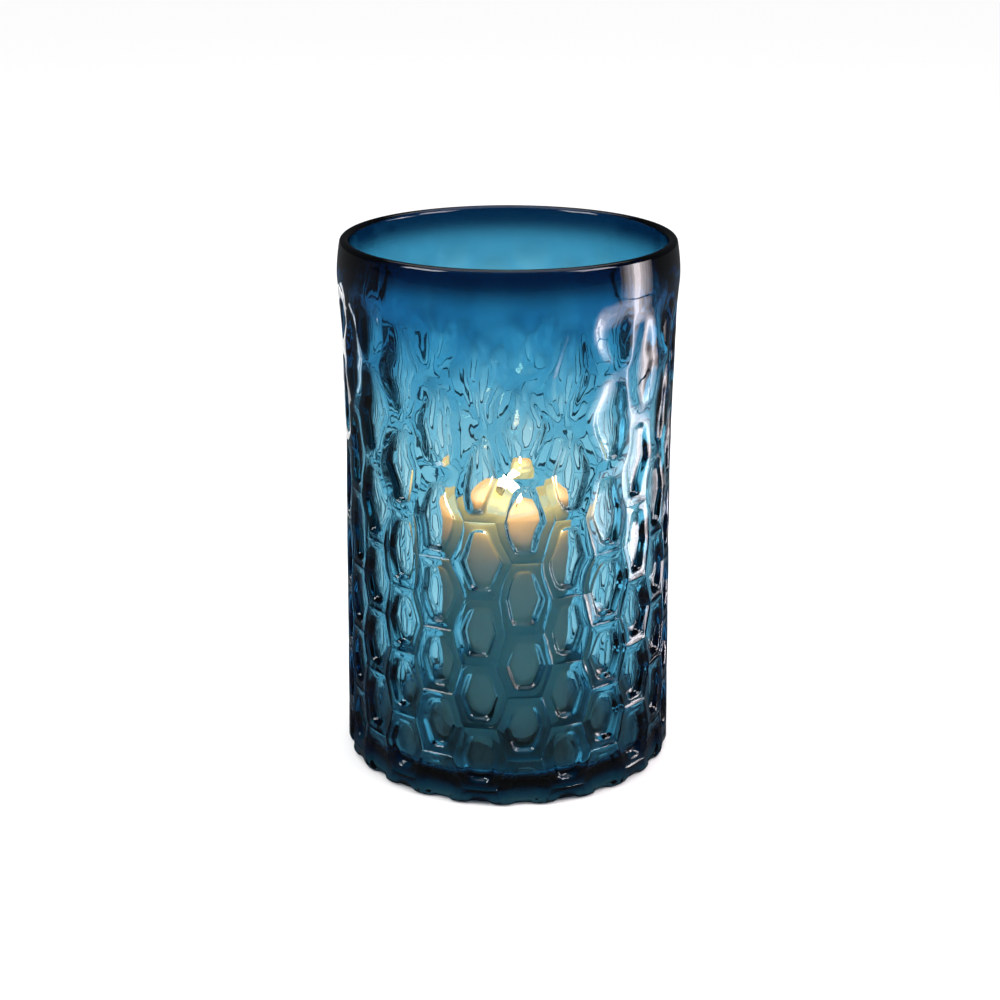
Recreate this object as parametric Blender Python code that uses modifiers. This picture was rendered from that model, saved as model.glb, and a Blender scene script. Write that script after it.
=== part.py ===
"""Hand-blown honeycomb glass hurricane lantern with one pillar candle.

Metres, +Z up, origin at the centre of the foot. The vessel is the fixed body. The candle, its wick
and the wick's sustainer stand on the glass floor and lift out through the open mouth as one body.
"""

import math

import bmesh
import bpy

COLLECTION = "hurricane_lantern"
GAP = 0.0003                  # clearance between pieces that touch
SMOOTH_BELOW = 35             # degrees; sharper edges than this are drawn sharp

# Vessel outline
HEIGHT = 0.332
FOOT_RADIUS = 0.1048
WAIST_RADIUS = 0.1020
WAIST_Z = 0.190
SHOULDER_RADIUS = 0.1042
SHOULDER_Z = 0.301
RIM_RADIUS = 0.1025
RIM_ROLL = 0.0031             # half the thickness of the fire-polished lip
RIM_STEPS = 6
FLARE_POWER = 1.5
FOOT_CORNER = 0.005
FLOOR_Z = 0.015
FLOOR_FILLET = 0.010
FILLET_STEPS = 3
INNER_RADIUS = RIM_RADIUS - 2 * RIM_ROLL

# Honeycomb relief, counted in half rows: a cell is two half rows tall
COLUMNS = 26
FIRST_COLUMN = -99.4          # degrees from +X to the middle of the first column
EDGE_SHARE = 0.763            # level cell edge over column pitch
ROW_START = 0.011
ROW_PITCH = 0.0205
ROW_STRETCH = 0.0009          # cells grow taller where the glass was pulled
STRETCH_FROM = 5
HALF_ROWS = 12
RIDGE_FLANK = 0.0042
DIMPLE_DEPTH = 0.0014
FADE_FROM = 0.200             # above this height the relief melts away
TOP_DEPTH = 0.0003

# Candle
CANDLE_RADIUS = 0.040
CANDLE_HEIGHT = 0.150
CANDLE_EDGE = 0.004
CANDLE_FOOT = 0.001
BOWL_DEPTH = 0.004
BOWL_RADIUS = 0.034
BOWL_POWER = 4                # how flat the bowl's middle is
BOWL_STEPS = 4
BORE_RADIUS = 0.0019
POCKET_RADIUS = 0.0165
POCKET_DEPTH = 0.0012
CANDLE_SIDES = 40
CANDLE_Z = FLOOR_Z + GAP
BOWL_Z = CANDLE_Z + CANDLE_HEIGHT - BOWL_DEPTH

# Wick and its steel sustainer
WICK_RADIUS = 0.0014
WICK_STAND = 0.011            # bare wick above the melted bowl
WICK_BEND = 0.0022
BARE_STEPS = 6
WICK_ROUNDNESS = 3
DISC_RADIUS = 0.0155
DISC_THICKNESS = 0.0005
NECK_RADIUS = 0.0028
NECK_WALL = 0.0006
NECK_HEIGHT = 0.007
DISC_SIDES = 32


def clear_scene():
    for old in list(bpy.data.objects):
        bpy.data.objects.remove(old, do_unlink=True)


def lantern_collection():
    collection = bpy.data.collections.new(COLLECTION)
    bpy.context.scene.collection.children.link(collection)
    return collection


def principled(name, colour, roughness, metallic=0.0, transmission=0.0):
    material = bpy.data.materials.new(name)
    material.use_nodes = True
    shader = material.node_tree.nodes["Principled BSDF"]
    shader.inputs["Base Color"].default_value = (*colour, 1.0)
    shader.inputs["Roughness"].default_value = roughness
    shader.inputs["Metallic"].default_value = metallic
    shader.inputs["Transmission Weight"].default_value = transmission
    material.diffuse_color = (*colour, 1.0)
    return material


def crest_radius(z):
    """Radius of the honeycomb crests: a slight waist between a wider foot and shoulder."""
    if z < WAIST_Z:
        share, flare = (WAIST_Z - z) / WAIST_Z, FOOT_RADIUS - WAIST_RADIUS
    else:
        share, flare = (z - WAIST_Z) / (SHOULDER_Z - WAIST_Z), SHOULDER_RADIUS - WAIST_RADIUS
    return WAIST_RADIUS + flare * share ** FLARE_POWER


def half_row_z(level):
    """Height of the level cell edges, rising evenly and then stretching towards the mouth."""
    return ROW_START + ROW_PITCH * level + ROW_STRETCH * max(0, level - STRETCH_FROM) ** 2


def crest_angle(column, side):
    pitch = math.tau / COLUMNS
    return math.radians(FIRST_COLUMN) + pitch * (column + side * EDGE_SHARE / 2)


def crest_point(bm, points, column, side, level):
    """The crest vertex at one side (-1, 0 or 1) of a column's level edge, made on first use."""
    key = (column % COLUMNS, side, level)
    if key not in points:
        z = half_row_z(level)
        radius, angle = crest_radius(z), crest_angle(column, side)
        points[key] = bm.verts.new((radius * math.cos(angle), radius * math.sin(angle), z))
    return points[key]


def cell_corners(column, low):
    """Corners of the cell from half row low to low + 2, cut off at the ends of the field."""
    high, middle = min(low + 2, HALF_ROWS), low + 1
    low = max(low, 0)
    left = (column - 1, 1, middle)
    right = (column + 1, -1, middle)
    bottom = [(column, side, low) for side in (-1, 0, 1)]
    top = [(column, side, high) for side in (1, 0, -1)]
    return bottom + [right] + top + [left]


def honeycomb_field(bm):
    """One face for each cell, offset by half a cell between neighbouring columns."""
    points, cells = {}, []
    for column in range(COLUMNS):
        for low in range(-(column % 2), HALF_ROWS, 2):
            corners = [crest_point(bm, points, *corner) for corner in cell_corners(column, low)]
            cells.append(bm.faces.new(corners))
    return cells


def press_dimples(bm, cells):
    """Insets every cell and sinks it, less and less towards the mouth."""
    for cell in cells:
        z = cell.calc_center_median().z
        fade = max(0.0, z - FADE_FROM) / (half_row_z(HALF_ROWS) - FADE_FROM)
        depth = DIMPLE_DEPTH + (TOP_DEPTH - DIMPLE_DEPTH) * min(1.0, fade)
        bmesh.ops.inset_individual(bm, faces=[cell], thickness=RIDGE_FLANK, depth=-depth)


def pull_ring(bm, loop, radius, z):
    """Extrudes an open edge loop to a circle of this radius and height, and returns the new loop."""
    made = bmesh.ops.extrude_edge_only(bm, edges=loop)["geom"]
    ring = {item for item in made if isinstance(item, bmesh.types.BMVert)}
    for vert in ring:
        scale = radius / math.hypot(vert.co.x, vert.co.y)
        vert.co = (vert.co.x * scale, vert.co.y * scale, z)
    edges = [item for item in made if isinstance(item, bmesh.types.BMEdge)]
    return [edge for edge in edges if set(edge.verts) <= ring]


def arc(centre_radius, centre_z, radius, start, end, steps):
    """(radius, z) points along an arc of the turned outline, angles in degrees from outwards."""
    turns = [math.radians(start + (end - start) * step / steps) for step in range(steps + 1)]
    return [(centre_radius + radius * math.cos(turn), centre_z + radius * math.sin(turn))
            for turn in turns]


def foot_outline():
    """The rounded corner down to the flat underside."""
    return arc(FOOT_RADIUS - FOOT_CORNER, FOOT_CORNER, FOOT_CORNER, 0, -90, FILLET_STEPS)


def mouth_outline():
    """From the shoulder over the rolled rim, down the bore and across the glass floor."""
    rim = arc(RIM_RADIUS - RIM_ROLL, HEIGHT - RIM_ROLL, RIM_ROLL, 0, 180, RIM_STEPS)
    fillet = arc(INNER_RADIUS - FLOOR_FILLET, FLOOR_Z + FLOOR_FILLET, FLOOR_FILLET,
                 0, -90, FILLET_STEPS)
    neck = (SHOULDER_RADIUS, (half_row_z(HALF_ROWS) + HEIGHT) / 2)
    return [neck] + rim + [(INNER_RADIUS, SHOULDER_Z), (INNER_RADIUS, WAIST_Z)] + fillet


def close_surface(bm, loop, outline):
    for radius, z in outline:
        loop = pull_ring(bm, loop, radius, z)
    bmesh.ops.contextual_create(bm, geom=loop)


def open_loops(bm):
    """The open edges at the foot and at the mouth of the honeycomb field."""
    edges = [edge for edge in bm.edges if edge.is_boundary]
    foot = [edge for edge in edges if edge.verts[0].co.z < WAIST_Z]
    mouth = [edge for edge in edges if edge.verts[0].co.z > WAIST_Z]
    return foot, mouth


def glass_hurricane(collection):
    bm = bmesh.new()
    press_dimples(bm, honeycomb_field(bm))
    foot_loop, mouth_loop = open_loops(bm)
    close_surface(bm, foot_loop, foot_outline())
    close_surface(bm, mouth_loop, mouth_outline())
    bmesh.ops.recalc_face_normals(bm, faces=bm.faces)
    mesh = bpy.data.meshes.new("glass_hurricane")
    bm.to_mesh(mesh)
    bm.free()
    mesh.shade_smooth()
    mesh.set_sharp_from_angle(angle=math.radians(SMOOTH_BELOW))
    mesh.materials.append(principled("blue_glass", (0.02, 0.22, 0.38), 0.02, transmission=1.0))
    collection.objects.link(bpy.data.objects.new("glass_hurricane", mesh))


def turned(collection, name, outline, sides, material):
    """A closed outline of (radius, z) points turned about the Z axis."""
    mesh = bpy.data.meshes.new(name)
    count = len(outline)
    mesh.from_pydata([(radius, 0.0, z) for radius, z in outline],
                     [(index, (index + 1) % count) for index in range(count)], [])
    piece = bpy.data.objects.new(name, mesh)
    collection.objects.link(piece)
    screw = piece.modifiers.new("turn", "SCREW")
    screw.steps = screw.render_steps = sides
    screw.use_merge_vertices = True
    screw.merge_threshold = 0.00001
    screw.use_smooth_shade = True
    mesh.materials.append(material)
    return piece


def bowl_outline():
    """The melted bowl from the wick's bore up to the rim of the candle."""
    outline = []
    for step in range(BOWL_STEPS + 1):
        share = step / BOWL_STEPS
        radius = BORE_RADIUS + (BOWL_RADIUS - BORE_RADIUS) * share
        outline.append((radius, BOWL_Z + BOWL_DEPTH * share ** BOWL_POWER))
    return outline


def pillar_candle(collection):
    """Wax pillar with a melted bowl on top, a bore for the wick and a pocket for its sustainer."""
    pocket_z = CANDLE_Z + POCKET_DEPTH
    neck_bore = NECK_RADIUS + 2 * GAP
    neck_top = CANDLE_Z + NECK_HEIGHT + 2 * GAP
    shoulder = arc(CANDLE_RADIUS - CANDLE_EDGE, CANDLE_Z + CANDLE_HEIGHT - CANDLE_EDGE,
                   CANDLE_EDGE, 90, 0, FILLET_STEPS)
    foot = arc(CANDLE_RADIUS - CANDLE_FOOT, CANDLE_Z + CANDLE_FOOT, CANDLE_FOOT,
               0, -90, FILLET_STEPS)
    pocket = [(POCKET_RADIUS, CANDLE_Z), (POCKET_RADIUS, pocket_z), (neck_bore, pocket_z),
              (neck_bore, neck_top), (BORE_RADIUS, neck_top)]
    wax = principled("ivory_wax", (0.86, 0.80, 0.66), 0.45)
    outline = bowl_outline() + shoulder + foot + pocket
    return turned(collection, "pillar_candle", outline, CANDLE_SIDES, wax)


def wick_sustainer(collection):
    """Tinned steel disc with a short crimped neck round the foot of the wick."""
    disc_top = CANDLE_Z + DISC_THICKNESS
    neck_top = CANDLE_Z + NECK_HEIGHT
    bore = NECK_RADIUS - NECK_WALL
    outline = [(bore, neck_top), (NECK_RADIUS, neck_top), (NECK_RADIUS, disc_top),
               (DISC_RADIUS, disc_top), (DISC_RADIUS, CANDLE_Z), (bore, CANDLE_Z)]
    steel = principled("tinned_steel", (0.62, 0.62, 0.60), 0.35, metallic=1.0)
    return turned(collection, "wick_sustainer", outline, DISC_SIDES, steel)


def wick(collection):
    """Braided cotton cord through the candle, its bare end curling over above the bowl."""
    curve = bpy.data.curves.new("wick", "CURVE")
    curve.dimensions = "3D"
    curve.bevel_depth = WICK_RADIUS
    curve.bevel_resolution = WICK_ROUNDNESS
    curve.use_fill_caps = True
    tip = BOWL_Z + WICK_STAND
    heights = [CANDLE_Z + DISC_THICKNESS, BOWL_Z]
    heights += [BOWL_Z + WICK_STAND * step / BARE_STEPS for step in range(1, BARE_STEPS + 1)]
    spline = curve.splines.new("POLY")
    spline.points.add(len(heights) - 1)
    for point, z in zip(spline.points, heights):
        bend = WICK_BEND * (max(0.0, z - BOWL_Z) / (tip - BOWL_Z)) ** 2
        point.co = (bend, 0.0, z, 1.0)
    cotton = principled("cotton_wick", (0.12, 0.10, 0.08), 0.9)
    curve.materials.append(cotton)
    piece = bpy.data.objects.new("wick", curve)
    collection.objects.link(piece)
    return piece


def main():
    clear_scene()
    collection = lantern_collection()
    glass_hurricane(collection)
    candle = pillar_candle(collection)
    for rider in (wick_sustainer(collection), wick(collection)):
        rider.parent = candle


main()
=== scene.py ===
"""Looks of the honeycomb hurricane lantern: blown blue glass round a lit pillar candle."""

import math

import bmesh
import bpy
from bpy.props import (FloatProperty, FloatVectorProperty, IntProperty, PointerProperty)
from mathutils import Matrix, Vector


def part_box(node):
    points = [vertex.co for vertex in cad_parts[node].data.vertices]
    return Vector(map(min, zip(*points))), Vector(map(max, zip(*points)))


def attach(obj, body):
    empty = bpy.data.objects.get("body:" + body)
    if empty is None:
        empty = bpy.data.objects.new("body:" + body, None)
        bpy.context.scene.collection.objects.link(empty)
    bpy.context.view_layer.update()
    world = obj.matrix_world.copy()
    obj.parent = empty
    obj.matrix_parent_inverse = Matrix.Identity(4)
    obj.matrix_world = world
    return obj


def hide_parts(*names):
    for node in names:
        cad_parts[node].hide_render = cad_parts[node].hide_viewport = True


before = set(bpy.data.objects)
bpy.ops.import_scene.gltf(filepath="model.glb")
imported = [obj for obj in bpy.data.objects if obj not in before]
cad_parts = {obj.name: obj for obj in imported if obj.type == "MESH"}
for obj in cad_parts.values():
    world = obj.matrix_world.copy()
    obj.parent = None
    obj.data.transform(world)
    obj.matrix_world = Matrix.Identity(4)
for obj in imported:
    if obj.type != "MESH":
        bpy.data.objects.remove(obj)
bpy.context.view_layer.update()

bl_info = {
    "name": "Honeycomb Hurricane Lantern",
    "version": (1, 0, 0),
    "blender": (4, 5, 0),
    "location": "View3D > Sidebar > Lantern",
    "description": "Builds the blown glass, the candle, its flame and a plain studio",
    "category": "Object",
}

_, GLASS_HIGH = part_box("glass_hurricane")
CANDLE_LOW, CANDLE_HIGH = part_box("pillar_candle")
WICK_LOW, WICK_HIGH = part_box("wick")
SUSTAINER_LOW, SUSTAINER_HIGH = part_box("wick_sustainer")
SKIN = 0.0003                 # how far the fine surfaces stay inside the frame's


# ---------------------------------------------------------------- settings

class LanternVesselSettings(bpy.types.PropertyGroup):
    """Sizes and colour of the blown glass."""

    waist_radius: FloatProperty(
        name="Waist Radius", description="Crest radius where the wall is narrowest",
        default=0.1020, unit="LENGTH")
    waist_height: FloatProperty(
        name="Waist Height", description="Height of the narrowest place",
        default=0.190, unit="LENGTH")
    shoulder_radius: FloatProperty(
        name="Shoulder Radius", description="Crest radius where the honeycomb ends",
        default=0.1042 - SKIN, unit="LENGTH")
    shoulder_height: FloatProperty(
        name="Shoulder Height", description="Height where the honeycomb ends",
        default=0.301, unit="LENGTH")
    rim_radius: FloatProperty(
        name="Rim Radius", description="Outer radius of the fire-polished rim",
        default=0.1025 - SKIN, unit="LENGTH")
    rim_roll: FloatProperty(
        name="Rim Roll", description="Half the thickness of the rim",
        default=0.0031, unit="LENGTH")
    foot_corner: FloatProperty(
        name="Foot Corner", description="Radius of the rounded corner under the wall",
        default=0.0042, unit="LENGTH")
    floor_height: FloatProperty(
        name="Floor Height", description="Thickness of the glass floor",
        default=0.015 - SKIN, unit="LENGTH")
    columns: IntProperty(
        name="Columns", description="Columns of cells round the wall", default=26, min=6)
    first_column: FloatProperty(
        name="First Column", description="Direction of the first column from +X",
        default=math.radians(-98.1), subtype="ANGLE")
    edge_share: FloatProperty(
        name="Edge Share", description="Level edge of a cell over the column pitch",
        default=0.763, subtype="FACTOR")
    row_start: FloatProperty(
        name="First Edge", description="Height of the lowest level cell edge",
        default=0.011, unit="LENGTH")
    row_pitch: FloatProperty(
        name="Half Row", description="Half the height of the lower cells",
        default=0.0205, unit="LENGTH")
    row_stretch: FloatProperty(
        name="Stretch", description="How fast the cells grow taller towards the mouth",
        default=0.0009, unit="LENGTH")
    tint: FloatVectorProperty(
        name="Tint", description="Colour of the glass where it is thin",
        default=(0.0, 0.62, 0.78), size=3, subtype="COLOR", min=0.0, max=1.0)
    depth_of_tint: FloatProperty(
        name="Depth of Tint", description="How strongly the glass body absorbs light",
        default=175.0, min=0.0)


class LanternCandleSettings(bpy.types.PropertyGroup):
    """Colour and glow of the candle."""

    wax: FloatVectorProperty(
        name="Wax", description="Colour of the wax",
        default=(0.40, 0.41, 0.36), size=3, subtype="COLOR", min=0.0, max=1.0)
    # painted glow: strength of the wax's emission near its top
    glow: FloatProperty(
        name="Glow", description="Light that the wax passes on near its top",
        default=1.7, min=0.0)
    flame_height: FloatProperty(
        name="Flame Height", description="Height of the flame", default=0.017, unit="LENGTH")
    flame_strength: FloatProperty(
        name="Flame Strength", description="Brightness of the flame", default=40.0, min=0.0)


class LanternStageSettings(bpy.types.PropertyGroup):
    """Camera and floor of the plain studio."""

    camera_back: FloatProperty(
        name="Camera Distance", description="Level distance from the axis",
        default=1.1304, unit="LENGTH")
    camera_height: FloatProperty(
        name="Camera Height", description="Height of the lens", default=0.555, unit="LENGTH")
    camera_tilt: FloatProperty(
        name="Camera Tilt", description="Angle below level",
        default=math.radians(19.16), subtype="ANGLE")
    camera_turn: FloatProperty(
        name="Camera Turn", description="Turn to the left",
        default=math.radians(0.261), subtype="ANGLE")
    lens: FloatProperty(
        name="Lens", description="Focal length on a 36 mm sensor", default=68.06)
    floor_reach: FloatProperty(
        name="Floor Reach", description="Half the width of the floor", default=14.0,
        unit="LENGTH")


# ---------------------------------------------------------------- node arithmetic

class Field:
    """A number socket of a node tree. Arithmetic on it adds Math nodes to the tree."""

    def __init__(self, tree, socket):
        self.tree = tree
        self.socket = socket

    def math(self, operation, *others):
        node = self.tree.nodes.new("ShaderNodeMath")
        node.operation = operation
        for index, value in enumerate((self, *others)):
            plug(self.tree, value, node.inputs[index])
        return Field(self.tree, node.outputs[0])

    def __add__(self, other):
        return self.math("ADD", other)

    def __sub__(self, other):
        return self.math("SUBTRACT", other)

    def __mul__(self, other):
        return self.math("MULTIPLY", other)

    def __truediv__(self, other):
        return self.math("DIVIDE", other)

    def __neg__(self):
        return self.math("MULTIPLY", -1.0)

    def ramp(self, start, end, low=0.0, high=1.0, kind="SMOOTHERSTEP"):
        """Runs from low at start to high at end and stays there on either side."""
        node = self.tree.nodes.new("ShaderNodeMapRange")
        node.interpolation_type = kind
        for name, value in zip(("Value", "From Min", "From Max", "To Min", "To Max"),
                               (self, start, end, low, high)):
            plug(self.tree, value, node.inputs[name])
        return Field(self.tree, node.outputs[0])


def plug(tree, value, socket):
    """Links a field or sets a constant."""
    if isinstance(value, Field):
        tree.links.new(value.socket, socket)
    else:
        socket.default_value = value


def put(tree, kind, **settings):
    """Adds a node and sets its properties."""
    node = tree.nodes.new(kind)
    for name, value in settings.items():
        setattr(node, name, value)
    return node


def add_input(tree, name, default):
    """A named number input of a geometry node group, as a field, with its default."""
    socket = tree.interface.new_socket(name, in_out="INPUT", socket_type="NodeSocketFloat")
    socket.default_value = default
    group = tree.nodes.get("Group Input") or tree.nodes.new("NodeGroupInput")
    return Field(tree, group.outputs[name])


def set_inputs(modifier, values):
    """Sets a modifier's inputs by their sockets' identifiers."""
    for item in modifier.node_group.interface.items_tree:
        if item.item_type == "SOCKET" and item.name in values:
            modifier[item.identifier] = values[item.name]


# ---------------------------------------------------------------- mesh helpers

def new_piece(name, mesh, material):
    """An object at the origin that holds this mesh, shaded smooth."""
    mesh.materials.clear()
    mesh.materials.append(material)
    mesh.shade_smooth()
    piece = bpy.data.objects.new(name, mesh)
    bpy.context.scene.collection.objects.link(piece)
    return piece


def baked(piece, name):
    """Swaps the piece's modifiers for the mesh they make."""
    graph = bpy.context.evaluated_depsgraph_get()
    mesh = bpy.data.meshes.new_from_object(piece.evaluated_get(graph))
    mesh.name = name
    old = piece.data
    piece.modifiers.clear()
    piece.data = mesh
    bpy.data.meshes.remove(old)
    return piece


def arc(centre_radius, centre_z, radius, start, end, steps):
    """(radius, z) points along an arc of a turned outline, angles in degrees from outwards."""
    turns = [math.radians(start + (end - start) * step / steps) for step in range(steps + 1)]
    return [(centre_radius + radius * math.cos(turn), centre_z + radius * math.sin(turn))
            for turn in turns]


def turned_mesh(name, outline, sides, ring_marks=None, side_marks=None):
    """A closed solid turned about Z from an outline that starts and ends on the axis.

    The marks map a name to one value for each point of the outline or for each side, and become
    attributes of the vertices.
    """
    ring_marks, side_marks = ring_marks or {}, side_marks or {}
    bm = bmesh.new()
    layers = {key: bm.verts.layers.float.new(key) for key in (*ring_marks, *side_marks)}

    def add_vertex(radius, z, point, side):
        turn = math.tau * side / sides
        vertex = bm.verts.new((radius * math.cos(turn), radius * math.sin(turn), z))
        for key, values in ring_marks.items():
            vertex[layers[key]] = values[point]
        for key, values in side_marks.items():
            vertex[layers[key]] = values[side]
        return vertex

    rings = []
    for point, (radius, z) in enumerate(outline):
        count = sides if radius > 0.0 else 1
        rings.append([add_vertex(radius, z, point, side) for side in range(count)])
    for low, high in zip(rings, rings[1:]):
        for side in range(sides):
            after = (side + 1) % sides
            if len(low) == 1:
                bm.faces.new((low[0], high[after], high[side]))
            elif len(high) == 1:
                bm.faces.new((low[side], low[after], high[0]))
            else:
                bm.faces.new((low[side], low[after], high[after], high[side]))
    mesh = bpy.data.meshes.new(name)
    bm.to_mesh(mesh)
    bm.free()
    return mesh


# ---------------------------------------------------------------- glass vessel

INSETS = (0.0, 0.0007, 0.0038, 0.0046, 0.0056, 0.0066, 0.0074)   # mesh lines beside a crest
CELL_STEPS = 2 * len(INSETS)  # mesh steps across a column
FIELD_TOP = 0.312             # the relief is gone above this height
STRETCH_FROM = 5.0            # rows above this one grow taller
SLANT = 0.96                  # slope of the zigzag edges
SWAY_PHASE = 2.845
TINY = 1e-9
FIRST_ROW, LAST_ROW = -1, 13  # half rows of cells that get mesh lines
UNDER_SHARES = (0.0, 0.3, 0.6, 0.8, 0.93)   # rings inside the innermost one of the cells
UNDER_REACH = 0.005           # how far the relief runs on under the foot
FOOT_RELIEF = 0.5             # share of the relief at the foot's edge
FOOT_BAND = 0.014             # full relief above this height
FADE_BELOW_SHOULDER = 0.012   # where the relief starts to fade
FLARE_POWER = 1.5
NECK_STEPS = 7
RIM_STEPS = 14
BORE_STEPS = 18
FILLET_RADIUS = 0.010
FILLET_STEPS = 6
FLOOR_SHARES = (0.75, 0.5, 0.25, 0.0)       # rings of the floor inside the fillet
DISH_REACH = 0.012            # the cell floor is dished as far as this from the crests
LINE_RELIEF = 0.3             # the crest line needs this share of the relief
LINE_PUSH = 0.02


def crest_radius(vessel, z):
    """Radius of the honeycomb crests: a slight waist between a wider foot and shoulder."""
    foot_radius = GLASS_HIGH.x - SKIN
    if z < vessel.waist_height:
        share = (vessel.waist_height - z) / vessel.waist_height
        flare = foot_radius - vessel.waist_radius
    else:
        share = (z - vessel.waist_height) / (vessel.shoulder_height - vessel.waist_height)
        flare = vessel.shoulder_radius - vessel.waist_radius
    return vessel.waist_radius + flare * share ** FLARE_POWER


def row_height(vessel, row):
    """Height of a half row, rising evenly and then stretching towards the mouth."""
    stretched = max(0.0, row - STRETCH_FROM) ** 2
    return vessel.row_start + vessel.row_pitch * row + vessel.row_stretch * stretched


def wall_point(vessel, row):
    """(radius, z) on the crest surface, carried on round the corner and under the foot."""
    corner = vessel.foot_corner
    z = row_height(vessel, row)
    if z >= corner:
        return crest_radius(vessel, z), z
    centre = crest_radius(vessel, corner) - corner
    turn = (corner - z) / corner
    if turn < math.pi / 2:
        return centre + corner * math.cos(turn), corner - corner * math.sin(turn)
    return centre - corner * (turn - math.pi / 2), 0.0


def field_rows(vessel):
    """Rows of the mesh from under the foot to the end of the relief, crowded beside the level
    crests."""
    rows = []
    for row in range(FIRST_ROW, LAST_ROW + 1):
        height = row_height(vessel, row + 1) - row_height(vessel, row)
        rows += [row + inset / height for inset in INSETS]
        rows.append(row + 0.5)
        rows += [row + 1 - inset / height for inset in reversed(INSETS[1:])]
    return [row for row in rows if row_height(vessel, row) < FIELD_TOP]


def column_marks(vessel):
    """For each side of the mesh: its column, its distance from the crest and on which side."""
    column, inset, lean = [], [], []
    for number in range(vessel.columns):
        column += [float(number)] * CELL_STEPS
        inset += [*INSETS, 0.0, *reversed(INSETS[1:])]
        lean += [-1.0] * len(INSETS) + [0.0] + [1.0] * (len(INSETS) - 1)
    return {"column": column, "inset": inset, "lean": lean}


def relief_share(vessel, row, point):
    """How much of the relief a ring has: all of it on the wall, half at the foot's edge, and
    fading to none under the foot and above the shoulder."""
    radius, z = point
    if z <= 0.0:
        edge = crest_radius(vessel, 0.0) - vessel.foot_corner
        return FOOT_RELIEF * max(0.0, 1.0 - (edge - radius) / UNDER_REACH)
    if z < FOOT_BAND:
        return FOOT_RELIEF + (1.0 - FOOT_RELIEF) * z / FOOT_BAND
    start = vessel.shoulder_height - FADE_BELOW_SHOULDER
    share = min(1.0, max(0.0, (FIELD_TOP - z) / (FIELD_TOP - start)))
    return share * share * (3.0 - 2.0 * share)


def vessel_outline(vessel):
    """Points of the turned blank with each one's row and share of the relief."""
    rows = field_rows(vessel)
    field = [wall_point(vessel, row) for row in rows]
    relief = [relief_share(vessel, row, point) for row, point in zip(rows, field)]
    under = [(field[0][0] * share, 0.0) for share in UNDER_SHARES]
    roll = vessel.rim_roll
    height = GLASS_HIGH.z - SKIN
    rim = arc(vessel.rim_radius - roll, height - roll, roll, 0, 180, RIM_STEPS)
    neck_low, neck_high = Vector(field[-1]), Vector(rim[0])
    neck = []
    for step in range(1, NECK_STEPS):
        share = step / NECK_STEPS
        ease = share * share
        neck.append((neck_low.x + (neck_high.x - neck_low.x) * ease,
                     neck_low.y + (neck_high.y - neck_low.y) * share))
    inner = vessel.rim_radius - 2 * roll
    floor_z = vessel.floor_height
    bore_top, bore_bottom = height - roll, floor_z + FILLET_RADIUS
    bore = [(inner, bore_top + (bore_bottom - bore_top) * step / BORE_STEPS)
            for step in range(1, BORE_STEPS)]
    fillet = arc(inner - FILLET_RADIUS, bore_bottom, FILLET_RADIUS, 0, -90, FILLET_STEPS)
    floor = [(fillet[-1][0] * share, floor_z) for share in FLOOR_SHARES]
    after = neck + rim + bore + fillet + floor
    outline = under + field + after
    all_rows = [rows[0]] * len(under) + rows + [rows[-1]] * len(after)
    all_relief = [0.0] * len(under) + relief + [0.0] * len(after)
    return outline, all_rows, all_relief


def named_field(tree, name):
    node = put(tree, "GeometryNodeInputNamedAttribute", data_type="FLOAT")
    node.inputs["Name"].default_value = name
    return Field(tree, node.outputs["Attribute"])


def split_vector(tree, socket):
    node = tree.nodes.new("ShaderNodeSeparateXYZ")
    tree.links.new(socket, node.inputs[0])
    return [Field(tree, output) for output in node.outputs]


def join_vector(tree, x, y, z):
    node = tree.nodes.new("ShaderNodeCombineXYZ")
    for value, socket in zip((x, y, z), node.inputs):
        plug(tree, value, socket)
    return node.outputs[0]


def noise_field(tree, position, scale, detail=1.0):
    """Smooth noise about zero, from -0.5 to 0.5."""
    node = put(tree, "ShaderNodeTexNoise", noise_dimensions="3D")
    tree.links.new(position, node.inputs["Vector"])
    plug(tree, scale, node.inputs["Scale"])
    node.inputs["Detail"].default_value = detail
    return Field(tree, node.outputs[0]) - 0.5


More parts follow.
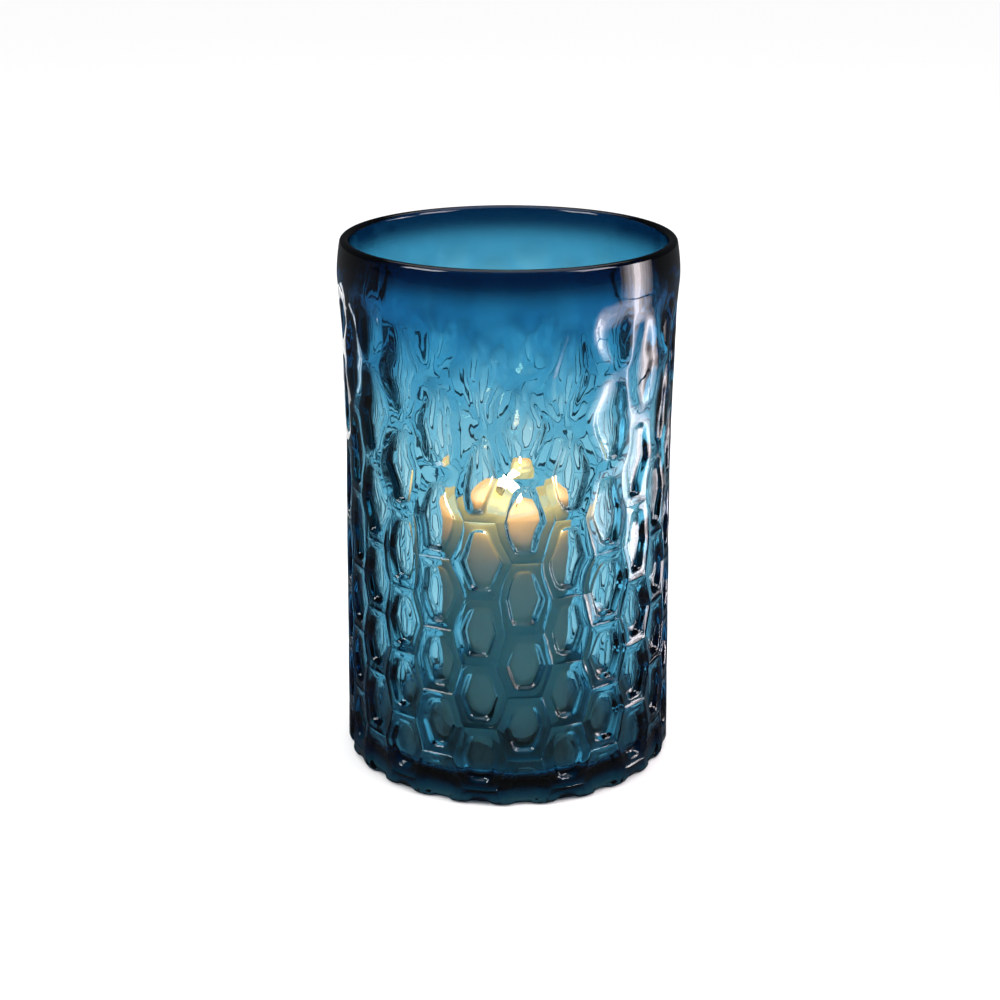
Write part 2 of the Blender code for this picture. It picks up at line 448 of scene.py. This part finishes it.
def honeycomb_tree(material):
    """Node group that presses the honeycomb into a turned blank.

    The blank's vertices carry their column, their distance from its zigzag border, their row up
    the wall and their share of the relief, so that the mesh follows the cells.
    """
    tree = bpy.data.node_groups.new("honeycomb_relief", "GeometryNodeTree")
    tree.interface.new_socket("Geometry", in_out="INPUT", socket_type="NodeSocketGeometry")
    tree.interface.new_socket("Geometry", in_out="OUTPUT", socket_type="NodeSocketGeometry")
    columns = add_input(tree, "Columns", 26.0)
    edge_share = add_input(tree, "Edge Share", 0.763)
    first_column = add_input(tree, "First Column", -1.7)
    pitch = add_input(tree, "Column Pitch", 0.0245)
    half_row = add_input(tree, "Half Row", 0.0205)
    stretch = add_input(tree, "Row Stretch", 0.0009)
    sway = add_input(tree, "Column Sway", 0.045)
    rib_drop = add_input(tree, "Rib Drop", 0.0005)
    flank_depth = add_input(tree, "Flank Depth", 0.0025)
    sag = add_input(tree, "Sag", 0.45)
    flank_start = add_input(tree, "Flank Start", 0.0042)
    flank_end = add_input(tree, "Flank End", 0.0070)
    dish = add_input(tree, "Dish Depth", 0.0004)
    crest = add_input(tree, "Crest Height", 0.00035)
    crest_width = add_input(tree, "Crest Width", 0.0005)
    rounding = add_input(tree, "Corner Rounding", 0.007)
    soft_from = add_input(tree, "Soften From", 0.150)
    soft_to = add_input(tree, "Soften To", 0.300)
    soft_depth = add_input(tree, "Soft Depth", 0.0025)
    soft_reach = add_input(tree, "Soft Reach", 0.0115)
    wave = add_input(tree, "Wave Height", 0.0011)
    wave_scale = add_input(tree, "Wave Scale", 60.0)
    drift = add_input(tree, "Drift", 0.0200)

    position = tree.nodes.new("GeometryNodeInputPosition").outputs[0]
    normal = tree.nodes.new("GeometryNodeInputNormal").outputs[0]
    x, y, z = split_vector(tree, position)
    column = named_field(tree, "column")
    inset = named_field(tree, "inset")
    lean = named_field(tree, "lean")
    row = named_field(tree, "row")
    relief = named_field(tree, "relief")
    radius = axis_distance(x, y)

    # place across the strip: the zigzag border is half_width from the column's middle
    level = (row - column).math("PINGPONG", 1.0)
    half_width = edge_share * 0.5 + (-edge_share + 1.0) * level
    reach = half_width * pitch * SLANT
    across = lean * (-(inset / reach) + 1.0)

    # distance to the nearest crest, and the same rounded at the corners
    side_distance = (-across.math("ABSOLUTE") + 1.0) * reach
    local_half_row = half_row + (row - STRETCH_FROM).math("MAXIMUM", 0.0) * (stretch * 2.0)
    level_distance = level * local_half_row
    edge_distance = side_distance.math("MINIMUM", level_distance)
    soft = z.ramp(soft_from, soft_to)
    distance = side_distance.math("SMOOTH_MIN", level_distance, rounding * (soft * 2.0 + 1.0))

    # turn round the axis, and a drift of the pattern in the hot-worked upper part
    angle = first_column + (column + across * half_width) / columns * math.tau
    swayed = angle + (angle * 2.0 + SWAY_PHASE).math("SINE") * sway
    around = join_vector(tree, radius * swayed.math("COSINE"), radius * swayed.math("SINE"), z)
    shift = (noise_field(tree, around, wave_scale * 0.5) * drift * z.ramp(0.05, 0.25, 0.25, 1.0)
             * relief)
    swayed = swayed + shift / radius.math("MAXIMUM", 0.01)

    # depth below the crests: a flat rib that ends in a steep flank, or a rolling fold in the
    # upper part, then the dished cell floor, the thin crest line and the waves
    near = (distance / flank_end).math("MINIMUM", 1.0)
    below_middle = -((row - column).math("FLOORED_MODULO", 2.0)) + 1.0
    sagged = flank_depth * (below_middle * sag + 1.0)
    pressed = near * near * rib_drop + distance.ramp(flank_start, flank_end, 0.0, sagged,
                                                     "SMOOTHSTEP")
    rolled = distance.ramp(0.0, soft_reach, 0.0, soft_depth, "SMOOTHSTEP")
    dished = (distance.math("MAXIMUM", 0.0) / DISH_REACH).math("MINIMUM", 1.0)
    spine = (-(edge_distance / crest_width)).math("EXPONENT") * z.ramp(*LINE_FADES, 1.0, 0.0)
    waves = (noise_field(tree, around, wave_scale) + 0.5) * z.ramp(0.10, 0.24, 0.12, 1.0)
    sunk = (pressed + (rolled - pressed) * soft + dished * dish
            + (-spine + 1.0) * crest + waves * wave) * relief

    outward_x, outward_y = x / (radius + TINY), y / (radius + TINY)
    normal_x, normal_y, normal_z = split_vector(tree, normal)
    new_radius = radius - sunk * (normal_x * outward_x + normal_y * outward_y)
    moved = join_vector(tree, new_radius * swayed.math("COSINE"),
                        new_radius * swayed.math("SINE"), z - sunk * normal_z)

    group_in = tree.nodes["Group Input"]
    group_out = tree.nodes.new("NodeGroupOutput")
    place_points = tree.nodes.new("GeometryNodeSetPosition")
    mark = put(tree, "GeometryNodeStoreNamedAttribute", data_type="FLOAT", domain="POINT")
    mark.inputs["Name"].default_value = "crest_distance"
    missing_relief = (-relief + LINE_RELIEF).math("MAXIMUM", 0.0)
    plug(tree, edge_distance + missing_relief * LINE_PUSH, mark.inputs["Value"])
    realize = tree.nodes.new("GeometryNodeRealizeInstances")
    paint = tree.nodes.new("GeometryNodeSetMaterial")
    paint.inputs["Material"].default_value = material
    tree.links.new(group_in.outputs["Geometry"], mark.inputs["Geometry"])
    tree.links.new(mark.outputs[0], place_points.inputs["Geometry"])
    tree.links.new(moved, place_points.inputs["Position"])
    tree.links.new(place_points.outputs[0], realize.inputs[0])
    tree.links.new(realize.outputs[0], paint.inputs[0])
    tree.links.new(paint.outputs[0], group_out.inputs[0])
    return tree


LINE_WIDTH = 0.0007           # fine crest line along the ribs
LINE_HEIGHT = 0.0006
LINE_FADES = (0.13, 0.22)     # heights between which it melts away
SEED_SCALE, SEED_HEIGHT = 160.0, 0.00002    # small bubbles and cords in the glass
TINT_HEIGHTS = (0.20, 0.31)   # where the upper wall turns darker
RIM_SHADE_HEIGHTS = (0.302, 0.326)  # where painted shade turns the rim darker still, almost black


def blown_glass(vessel):
    """Body-coloured glass, with the colour in its depth and painted shade that turns the rim
    almost black.
    """
    material, tree, shader = new_material("blown_blue_glass")
    shader.inputs["Transmission Weight"].default_value = 1.0
    shader.inputs["IOR"].default_value = 1.5
    height = object_height(tree)
    upper = height.ramp(*TINT_HEIGHTS)
    # painted shade: near the rim the base colour runs to almost black
    rim = height.ramp(*RIM_SHADE_HEIGHTS)
    low = mix_colours(tree, upper, (0.86, 0.95, 0.97), (0.20, 0.56, 0.74))
    tint_with_rim_shade = mix_colours(tree, rim, low, (0.004, 0.03, 0.08))
    tree.links.new(tint_with_rim_shade, shader.inputs["Base Color"])
    position = object_position(tree)
    film = noise_field(tree, position, 18.0) + 0.5
    plug(tree, film.ramp(0.35, 0.75, 0.0, 0.02), shader.inputs["Roughness"])
    crest_distance = put(tree, "ShaderNodeAttribute", attribute_name="crest_distance")
    line = (-(Field(tree, crest_distance.outputs["Fac"]) / LINE_WIDTH)).math("EXPONENT")
    line = line * height.ramp(*LINE_FADES, 1.0, 0.0) * LINE_HEIGHT
    seeds = noise_field(tree, position, SEED_SCALE, 2.0) * SEED_HEIGHT
    add_bump(tree, shader, line + seeds, 1.0, 1.0)
    absorption = tree.nodes.new("ShaderNodeVolumeAbsorption")
    absorption.inputs["Color"].default_value = (*vessel.tint, 1.0)
    absorption.inputs["Density"].default_value = vessel.depth_of_tint
    output = tree.nodes["Material Output"]
    tree.links.new(absorption.outputs[0], output.inputs["Volume"])
    return material


def build_vessel(vessel):
    outline, rows, relief = vessel_outline(vessel)
    sides = vessel.columns * CELL_STEPS
    ring_marks = {"row": rows, "relief": relief}
    side_marks = column_marks(vessel)
    mesh = turned_mesh("blown_vessel", outline, sides, ring_marks, side_marks)
    glass = blown_glass(vessel)
    piece = new_piece("blown_vessel", mesh, glass)
    press = piece.modifiers.new("honeycomb", "NODES")
    press.node_group = honeycomb_tree(glass)
    pitch = math.tau * vessel.waist_radius / vessel.columns
    set_inputs(press, {
        "Columns": float(vessel.columns), "Edge Share": vessel.edge_share,
        "First Column": vessel.first_column, "Column Pitch": pitch,
        "Half Row": vessel.row_pitch, "Row Stretch": vessel.row_stretch})
    baked(piece, "blown_vessel")
    for name in (*ring_marks, *side_marks):
        piece.data.attributes.remove(piece.data.attributes[name])
    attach(piece, "vessel")
    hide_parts("glass_hurricane")


# ---------------------------------------------------------------- materials

def new_material(name):
    material = bpy.data.materials.new(name)
    material.use_nodes = True
    tree = material.node_tree
    return material, tree, tree.nodes["Principled BSDF"]


def object_position(tree):
    return put(tree, "ShaderNodeTexCoord").outputs["Object"]


def object_height(tree):
    return split_vector(tree, object_position(tree))[2]


def axis_distance(x, y):
    return (x * x + y * y).math("SQRT")


def mix_colours(tree, factor, first, second):
    """Colour socket between two colours, each a socket or three numbers."""
    node = put(tree, "ShaderNodeMix", data_type="RGBA")
    plug(tree, factor, node.inputs[0])
    for value, socket in ((first, node.inputs[6]), (second, node.inputs[7])):
        if isinstance(value, bpy.types.NodeSocket):
            tree.links.new(value, socket)
        else:
            socket.default_value = (*value, 1.0)
    return node.outputs[2]


def add_bump(tree, shader, height, strength, distance):
    node = tree.nodes.new("ShaderNodeBump")
    node.inputs["Strength"].default_value = strength
    node.inputs["Distance"].default_value = distance
    plug(tree, height, node.inputs["Height"])
    tree.links.new(node.outputs[0], shader.inputs["Normal"])


# ---------------------------------------------------------------- candle

POCKET_RADIUS = 0.0165        # hollow under the candle for the wick tab
POCKET_DEPTH = 0.0012
FOOT_ROUNDING, TOP_ROUNDING = 0.0012, 0.0045
WALL_STEPS = 40
BOWL_DEPTH = 0.004            # melted bowl in the candle's top
CANDLE_SIDES, SMALL_SIDES = 128, 96
GLOW_DEPTH = 0.012            # the painted glow falls to about a third over this depth


def ivory_wax(candle):
    """Translucent wax, with a painted glow near its top for the flame's light in the wax."""
    material, tree, shader = new_material("ivory_wax")
    position = object_position(tree)
    height = object_height(tree)
    mottle = noise_field(tree, position, 45.0, 3.0)
    pale = tuple(min(1.0, part * 1.06) for part in candle.wax)
    dull = tuple(part * 0.93 for part in candle.wax)
    tree.links.new(mix_colours(tree, mottle + 0.5, dull, pale), shader.inputs["Base Color"])
    plug(tree, mottle.ramp(-0.3, 0.3, 0.38, 0.55), shader.inputs["Roughness"])
    shader.inputs["Subsurface Weight"].default_value = 0.8
    shader.inputs["Subsurface Radius"].default_value = (0.012, 0.006, 0.003)
    shader.inputs["Subsurface Scale"].default_value = 1.0
    shader.inputs["Coat Weight"].default_value = 0.08
    # painted glow: emission that falls off below the top of the candle
    below_top = -height + CANDLE_HIGH.z
    glow = (-(below_top / GLOW_DEPTH)).math("EXPONENT") * candle.glow
    shader.inputs["Emission Color"].default_value = (1.0, 0.34, 0.04, 1.0)
    plug(tree, glow, shader.inputs["Emission Strength"])
    add_bump(tree, shader, noise_field(tree, position, 220.0, 3.0), 0.15, 0.0003)
    return material


def candle_outline():
    """From the middle of the sustainer's pocket, round the foot and up to the melted bowl."""
    radius = CANDLE_HIGH.x - SKIN / 3
    low, high = CANDLE_LOW.z, CANDLE_HIGH.z
    pocket, roof = POCKET_RADIUS, low + POCKET_DEPTH
    outline = [(0.0, roof), (pocket - 0.0004, roof), (pocket, low + 0.0008),
               (pocket, low + 0.0002), (pocket + 0.0003, low)]
    outline += arc(radius - FOOT_ROUNDING, low + FOOT_ROUNDING, FOOT_ROUNDING, -90, 0, 4)
    outline += [(radius, low + 0.003 + (high - 0.008 - low) * step / WALL_STEPS)
                for step in range(WALL_STEPS)]
    outline += arc(radius - TOP_ROUNDING, high - TOP_ROUNDING, TOP_ROUNDING, 0, 90, 8)
    outline += [(0.034, high - 0.0006), (0.031, high - 0.0022), (0.027, high - 0.0032),
                (0.018, high - 0.0038), (0.009, high - BOWL_DEPTH), (0.0, high - BOWL_DEPTH)]
    return outline


def build_candle(candle):
    mesh = turned_mesh("wax_pillar", candle_outline(), CANDLE_SIDES)
    piece = new_piece("wax_pillar", mesh, ivory_wax(candle))
    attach(piece, "candle")
    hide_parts("pillar_candle")


def molten_wax():
    material, tree, shader = new_material("molten_wax")
    shader.inputs["Base Color"].default_value = (0.95, 0.80, 0.52, 1.0)
    shader.inputs["Roughness"].default_value = 0.04
    shader.inputs["Coat Weight"].default_value = 0.6
    # painted glow: the molten pool is given emission, strongest at its middle, for the flame's
    # light on it
    shader.inputs["Emission Color"].default_value = (1.0, 0.37, 0.06, 1.0)
    x, y, _ = split_vector(tree, object_position(tree))
    plug(tree, axis_distance(x, y).ramp(0.0, 0.028, 4.0, 1.2), shader.inputs["Emission Strength"])
    return material


def build_pool():
    high = CANDLE_HIGH.z
    outline = [(0.0, high - 0.0038), (0.018, high - 0.0036), (0.027, high - 0.003),
               (0.0308, high - 0.0020), (0.0304, high - 0.00185), (0.029, high - 0.0021),
               (0.010, high - 0.0022), (0.003, high - 0.0020), (0.0, high - 0.0014)]
    mesh = turned_mesh("melted_pool", outline, SMALL_SIDES)
    piece = new_piece("melted_pool", mesh, molten_wax())
    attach(piece, "candle")


FLAME_ROOT = WICK_HIGH.z - 0.006
FLAME_RADIUS = 0.0052
FLAME_BELLY = 0.62            # below one, so that the flame is widest in its lower half
FLAME_TAPER = 0.35
FLAME_STEPS, FLAME_SIDES = 28, 32
FLAME_OFFSET, FLAME_LEAN = 0.0016, 0.0006   # it stands over the bent wick and leans with it


def burning_gas(candle):
    """The flame: dim and blue at its root, orange, then almost white."""
    material, tree, shader = new_material("flame")
    height = object_height(tree)
    share = (height - FLAME_ROOT) / candle.flame_height
    warm = mix_colours(tree, share.ramp(0.0, 0.25), (0.30, 0.16, 0.25), (1.0, 0.34, 0.08))
    bright = mix_colours(tree, share.ramp(0.2, 0.55), warm, (1.0, 0.50, 0.24))
    shader.inputs["Base Color"].default_value = (0.0, 0.0, 0.0, 1.0)
    shader.inputs["Roughness"].default_value = 1.0
    tree.links.new(bright, shader.inputs["Emission Color"])
    strength = share.ramp(0.0, 0.4, 0.05, 1.0) * share.ramp(0.8, 1.05, 1.0, 0.4)
    plug(tree, strength * candle.flame_strength, shader.inputs["Emission Strength"])
    return material


def build_flame(candle):
    outline = []
    for step in range(FLAME_STEPS + 1):
        share = step / FLAME_STEPS
        swell = math.sin(math.pi * share ** FLAME_BELLY) ** 0.9
        radius = FLAME_RADIUS * swell * (1.0 - FLAME_TAPER * share)
        outline.append((max(0.0, radius), FLAME_ROOT + candle.flame_height * share))
    outline[0] = (0.0, FLAME_ROOT)
    outline[-1] = (0.0, FLAME_ROOT + candle.flame_height)
    mesh = turned_mesh("flame", outline, FLAME_SIDES)
    for vertex in mesh.vertices:
        share = (vertex.co.z - FLAME_ROOT) / candle.flame_height
        vertex.co.x += FLAME_OFFSET + FLAME_LEAN * share
    piece = new_piece("flame", mesh, burning_gas(candle))
    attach(piece, "candle")


def charred_cotton():
    material, tree, shader = new_material("charred_cotton")
    height = object_height(tree)
    burnt = height.ramp(CANDLE_HIGH.z - 0.001, CANDLE_HIGH.z + 0.003)
    tree.links.new(mix_colours(tree, burnt, (0.75, 0.66, 0.48), (0.015, 0.012, 0.010)),
                   shader.inputs["Base Color"])
    shader.inputs["Roughness"].default_value = 0.85
    add_bump(tree, shader, noise_field(tree, object_position(tree), 900.0, 2.0), 0.5, 0.0002)
    return material


BARE_WICK = 0.011             # height of wick above the melted bowl
WICK_BEND = 0.0022            # how far its end leans from the axis
STRAND_RADIUS = 0.00072
LAY_RADIUS, LAY_LENGTH = 0.00062, 0.0065    # each strand's helix
STRANDS = 3
STRAND_STEPS = 260


def wick_axis(z):
    """Middle of the wick at a height: straight in the wax, bent over above it."""
    bare = max(0.0, z - (CANDLE_HIGH.z - BOWL_DEPTH)) / BARE_WICK
    return Vector((WICK_BEND * bare ** 2, 0.0, z))


def build_wick():
    """Three cotton strands laid round each other."""
    low, high = WICK_LOW.z, WICK_HIGH.z
    curve = bpy.data.curves.new("wick_strands", "CURVE")
    curve.dimensions = "3D"
    curve.bevel_depth = STRAND_RADIUS
    curve.bevel_resolution = 2
    curve.use_fill_caps = True
    for strand in range(STRANDS):
        spline = curve.splines.new("POLY")
        spline.points.add(STRAND_STEPS)
        for step, point in enumerate(spline.points):
            z = low + 0.0004 + (high - low - 0.0012) * step / STRAND_STEPS
            turn = math.tau * (z / LAY_LENGTH + strand / STRANDS)
            place = wick_axis(z) + Vector((math.cos(turn), math.sin(turn), 0.0)) * LAY_RADIUS
            point.co = (*place, 1.0)
    holder = bpy.data.objects.new("strands", curve)
    bpy.context.scene.collection.objects.link(holder)
    graph = bpy.context.evaluated_depsgraph_get()
    mesh = bpy.data.meshes.new_from_object(holder.evaluated_get(graph))
    bpy.data.objects.remove(holder)
    piece = new_piece("braided_wick", mesh, charred_cotton())
    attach(piece, "candle")
    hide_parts("wick")


def tinned_steel():
    material, tree, shader = new_material("tinned_steel")
    position = object_position(tree)
    bloom = noise_field(tree, position, 300.0, 3.0)
    tree.links.new(mix_colours(tree, bloom + 0.5, (0.55, 0.55, 0.54), (0.70, 0.70, 0.68)),
                   shader.inputs["Base Color"])
    shader.inputs["Metallic"].default_value = 1.0
    plug(tree, bloom.ramp(-0.3, 0.3, 0.22, 0.40), shader.inputs["Roughness"])
    return material


def build_sustainer():
    """Pressed disc with a stiffening ring and the crimped neck round the wick's foot."""
    low, high = SUSTAINER_LOW.z, SUSTAINER_HIGH.z
    radius = SUSTAINER_HIGH.x - SKIN / 3
    sheet = 0.0005
    outline = [(0.0, low + 0.0001), (0.008, low + 0.0001), (0.0085, low + 0.0002),
               (0.0105, low + 0.0002), (0.011, low), (radius - 0.0002, low),
               (radius, low + 0.0002), (radius - 0.0002, low + sheet), (0.011, low + sheet),
               (0.0105, low + sheet + 0.0002), (0.0085, low + sheet + 0.0002),
               (0.008, low + sheet), (0.0036, low + sheet), (0.0028, low + 0.0012),
               (0.0026, low + 0.002), (0.0026, high - 0.0003), (0.0024, high), (0.0, high)]
    mesh = turned_mesh("wick_tab", outline, SMALL_SIDES)
    piece = new_piece("wick_tab", mesh, tinned_steel())
    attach(piece, "candle")
    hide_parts("wick_sustainer")


# ---------------------------------------------------------------- stage

PALE_TABLE = (0.86, 0.86, 0.86)
# painted shade: the floor is dimmer where it is seen through the glass
TABLE_THROUGH_GLASS = (0.64, 0.64, 0.64)
# painted reflection: the floor turns almost black where the glass mirrors it
TABLE_IN_MIRROR = (0.06, 0.065, 0.07)
# painted dark patches on the floor, seen only through the glass, for dark surroundings
PAINTED_DARK_PATCH = (0.006, 0.007, 0.008)
DARK_PATCH_SLOPE = 0.35             # how fast the gap between the painted dark patches widens towards the back
CUT_SLOPE = 1.4               # where the right painted dark patch is cut off, seen from the lantern
DARK_ROOM = (0.03, 0.033, 0.036)
PALE_PINK = (1.0, 0.90, 0.93)
FEATHER_STEPS = 6
FEATHER_GAP = 0.002           # between one nested lamp and the next


def pale_floor():
    """Matt pale floor. The glass mirrors it only faintly, for it is painted almost black in
    mirror rays, a painted reflection. Seen through the glass it is painted dimmer, with painted
    dark patches behind the lantern on either side, the left one longer. Round the foot a painted
    glow, seen only through the glass, stands in for the light that real glass leads down to it."""
    material, tree, shader = new_material("pale_floor")
    path = put(tree, "ShaderNodeLightPath")
    through = Field(tree, path.outputs["Is Transmission Ray"])
    # painted reflection: rays mirrored off the glass see the floor almost black
    mirrored = Field(tree, path.outputs["Is Glossy Ray"]) * (-through + 1.0)
    x, y, _ = split_vector(tree, object_position(tree))
    side = x.math("ABSOLUTE")
    radius = axis_distance(x, y)
    cut_off = (side - y * CUT_SLOPE).ramp(0.0, 0.15) * radius.ramp(0.40, 0.55)
    cut_off = cut_off * x.ramp(-0.05, 0.05)
    # painted dark patches, shown only to rays through the glass
    dark_patch = (side - y * DARK_PATCH_SLOPE).ramp(0.06, 0.14) * (-cut_off + 1.0) * y.ramp(-0.15, 0.0)
    # painted shade: rays through the glass see the floor dimmer
    table = mix_colours(tree, through, PALE_TABLE, TABLE_THROUGH_GLASS)
    shaded = mix_colours(tree, dark_patch * through, table, PAINTED_DARK_PATCH)
    tree.links.new(mix_colours(tree, mirrored, shaded, TABLE_IN_MIRROR),
                   shader.inputs["Base Color"])
    shader.inputs["Roughness"].default_value = 0.9
    shader.inputs["Specular IOR Level"].default_value = 0.0
    shader.inputs["Emission Color"].default_value = (1.0, 1.0, 1.0, 1.0)
    # painted glow round the foot, shown only to rays through the glass
    painted_foot_glow = radius.ramp(0.055, 0.085) * radius.ramp(0.090, 0.115, 0.08, 0.0)
    plug(tree, painted_foot_glow * through, shader.inputs["Emission Strength"])
    return material


def build_floor(stage):
    bm = bmesh.new()
    bmesh.ops.create_grid(bm, x_segments=1, y_segments=1, size=stage.floor_reach)
    mesh = bpy.data.meshes.new("floor")
    bm.to_mesh(mesh)
    bm.free()
    new_piece("floor", mesh, pale_floor())


def softbox(name, place, aim, width, height, power, colour=(1.0, 1.0, 1.0)):
    """A rectangular lamp at place that faces aim. The glass mirrors it but doesn't show it
    through."""
    light = bpy.data.lights.new(name, "AREA")
    light.shape = "RECTANGLE"
    light.size, light.size_y = width, height
    light.energy = power
    light.color = colour
    lamp = bpy.data.objects.new(name, light)
    lamp.location = place
    lamp.rotation_euler = (Vector(aim) - Vector(place)).to_track_quat("-Z", "Y").to_euler()
    lamp.visible_transmission = False
    bpy.context.scene.collection.objects.link(lamp)


def feathered_softbox(name, place, aim, width, height, power, colour):
    """Softboxes one inside the other, so that their mirror image fades towards its sides."""
    towards = (Vector(aim) - Vector(place)).normalized()
    for step in range(FEATHER_STEPS):
        nearer = Vector(place) + towards * FEATHER_GAP * step
        softbox(f"{name}_{step}", nearer, aim, width * (1.0 - step / FEATHER_STEPS), height,
                power / FEATHER_STEPS, colour)


def build_lights():
    middle = (0.0, 0.0, 0.16)
    softbox("overhead", (0.0, 0.3, 2.2), middle, 2.4, 2.4, 20.0)
    softbox("upper_left", (-1.0, -0.55, 0.95), middle, 0.6, 0.6, 9.0)
    softbox("upper_right", (1.0, -0.55, 0.95), middle, 0.6, 0.6, 9.0, PALE_PINK)
    softbox("back_left_panel", (-0.50, 0.85, 0.004), (-0.50, 0.851, 1.0), 0.40, 0.50, 1.0)
    feathered_softbox("right_panel", (0.80, 0.0, 0.004), (0.801, 0.0, 1.0), 0.60, 0.8, 8.0,
                      PALE_PINK)
    feathered_softbox("right_softbox", (1.25, 0.0, 0.32), (0.0, 0.0, 0.32), 0.70, 0.6, 7.0,
                      PALE_PINK)


def build_world():
    """Even white light on matt surfaces. The glass shows a white backdrop all round, with a dark
    gap on either side behind the lantern, and mirrors a dark room."""
    world = bpy.data.worlds.new("studio")
    bpy.context.scene.world = world
    world.use_nodes = True
    tree = world.node_tree
    background = tree.nodes["Background"]
    direction = put(tree, "ShaderNodeTexCoord").outputs["Generated"]
    aside, back, up = split_vector(tree, direction)
    path = put(tree, "ShaderNodeLightPath")
    outside_gaps = aside.math("ABSOLUTE").ramp(0.30, 0.60, 1.0, 0.0).math(
        "MAXIMUM", back.ramp(-0.20, 0.20, 1.0, 0.0))
    backdrop = (outside_gaps * up.ramp(0.35, 0.6, 1.0, 0.0)
                * Field(tree, path.outputs["Is Transmission Ray"]))
    room = mix_colours(tree, backdrop, DARK_ROOM, (0.75, 0.75, 0.75))
    open_light = Field(tree, path.outputs["Is Diffuse Ray"]).math(
        "MAXIMUM", Field(tree, path.outputs["Is Camera Ray"]))
    tree.links.new(mix_colours(tree, open_light, room, (1.0, 1.0, 1.0)),
                   background.inputs["Color"])
    background.inputs["Strength"].default_value = 1.15


def build_camera(stage):
    data = bpy.data.cameras.new("camera")
    data.lens = stage.lens
    camera = bpy.data.objects.new("camera", data)
    camera.location = (0.0, -stage.camera_back, stage.camera_height)
    camera.rotation_euler = (math.pi / 2 - stage.camera_tilt, 0.0, stage.camera_turn)
    bpy.context.scene.collection.objects.link(camera)
    bpy.context.scene.camera = camera


# ---------------------------------------------------------------- operators and panel

class LANTERN_OT_vessel(bpy.types.Operator):
    """Blow the glass vessel and press its honeycomb"""

    bl_idname = "lantern.vessel"
    bl_label = "Glass Vessel"

    def execute(self, context):
        build_vessel(context.scene.lantern_vessel)
        return {"FINISHED"}


class LANTERN_OT_candle(bpy.types.Operator):
    """Cast the candle with its melted pool, wick and wick tab"""

    bl_idname = "lantern.candle"
    bl_label = "Candle"

    def execute(self, context):
        build_candle(context.scene.lantern_candle)
        build_pool()
        build_wick()
        build_sustainer()
        return {"FINISHED"}


class LANTERN_OT_flame(bpy.types.Operator):
    """Light the candle"""

    bl_idname = "lantern.flame"
    bl_label = "Flame"

    def execute(self, context):
        build_flame(context.scene.lantern_candle)
        return {"FINISHED"}


class LANTERN_OT_stage(bpy.types.Operator):
    """Set up the floor, the lights and the camera"""

    bl_idname = "lantern.stage"
    bl_label = "Stage"

    def execute(self, context):
        stage = context.scene.lantern_stage
        build_camera(stage)
        build_floor(stage)
        build_lights()
        build_world()
        context.scene.view_settings.view_transform = "Standard"
        return {"FINISHED"}


class LANTERN_PT_panel(bpy.types.Panel):
    """Settings and steps of the lantern"""

    bl_label = "Hurricane Lantern"
    bl_idname = "LANTERN_PT_panel"
    bl_space_type = "VIEW_3D"
    bl_region_type = "UI"
    bl_category = "Lantern"

    def draw(self, context):
        for group in ("lantern_vessel", "lantern_candle", "lantern_stage"):
            settings = getattr(context.scene, group)
            box = self.layout.box()
            for name in type(settings).__annotations__:
                box.prop(settings, name)
        for operator in OPERATORS:
            self.layout.operator(operator.bl_idname)


OPERATORS = (LANTERN_OT_stage, LANTERN_OT_vessel, LANTERN_OT_candle, LANTERN_OT_flame)
GROUPS = {
    "lantern_vessel": LanternVesselSettings,
    "lantern_candle": LanternCandleSettings,
    "lantern_stage": LanternStageSettings,
}
CLASSES = (*GROUPS.values(), *OPERATORS, LANTERN_PT_panel)


def register():
    for entry in CLASSES:
        bpy.utils.register_class(entry)
    for name, group in GROUPS.items():
        setattr(bpy.types.Scene, name, PointerProperty(type=group))


def unregister():
    for name in GROUPS:
        delattr(bpy.types.Scene, name)
    for entry in reversed(CLASSES):
        bpy.utils.unregister_class(entry)


def main():
    register()
    bpy.ops.lantern.stage()
    bpy.ops.lantern.vessel()
    bpy.ops.lantern.candle()
    bpy.ops.lantern.flame()


if __name__ == "__main__":
    main()
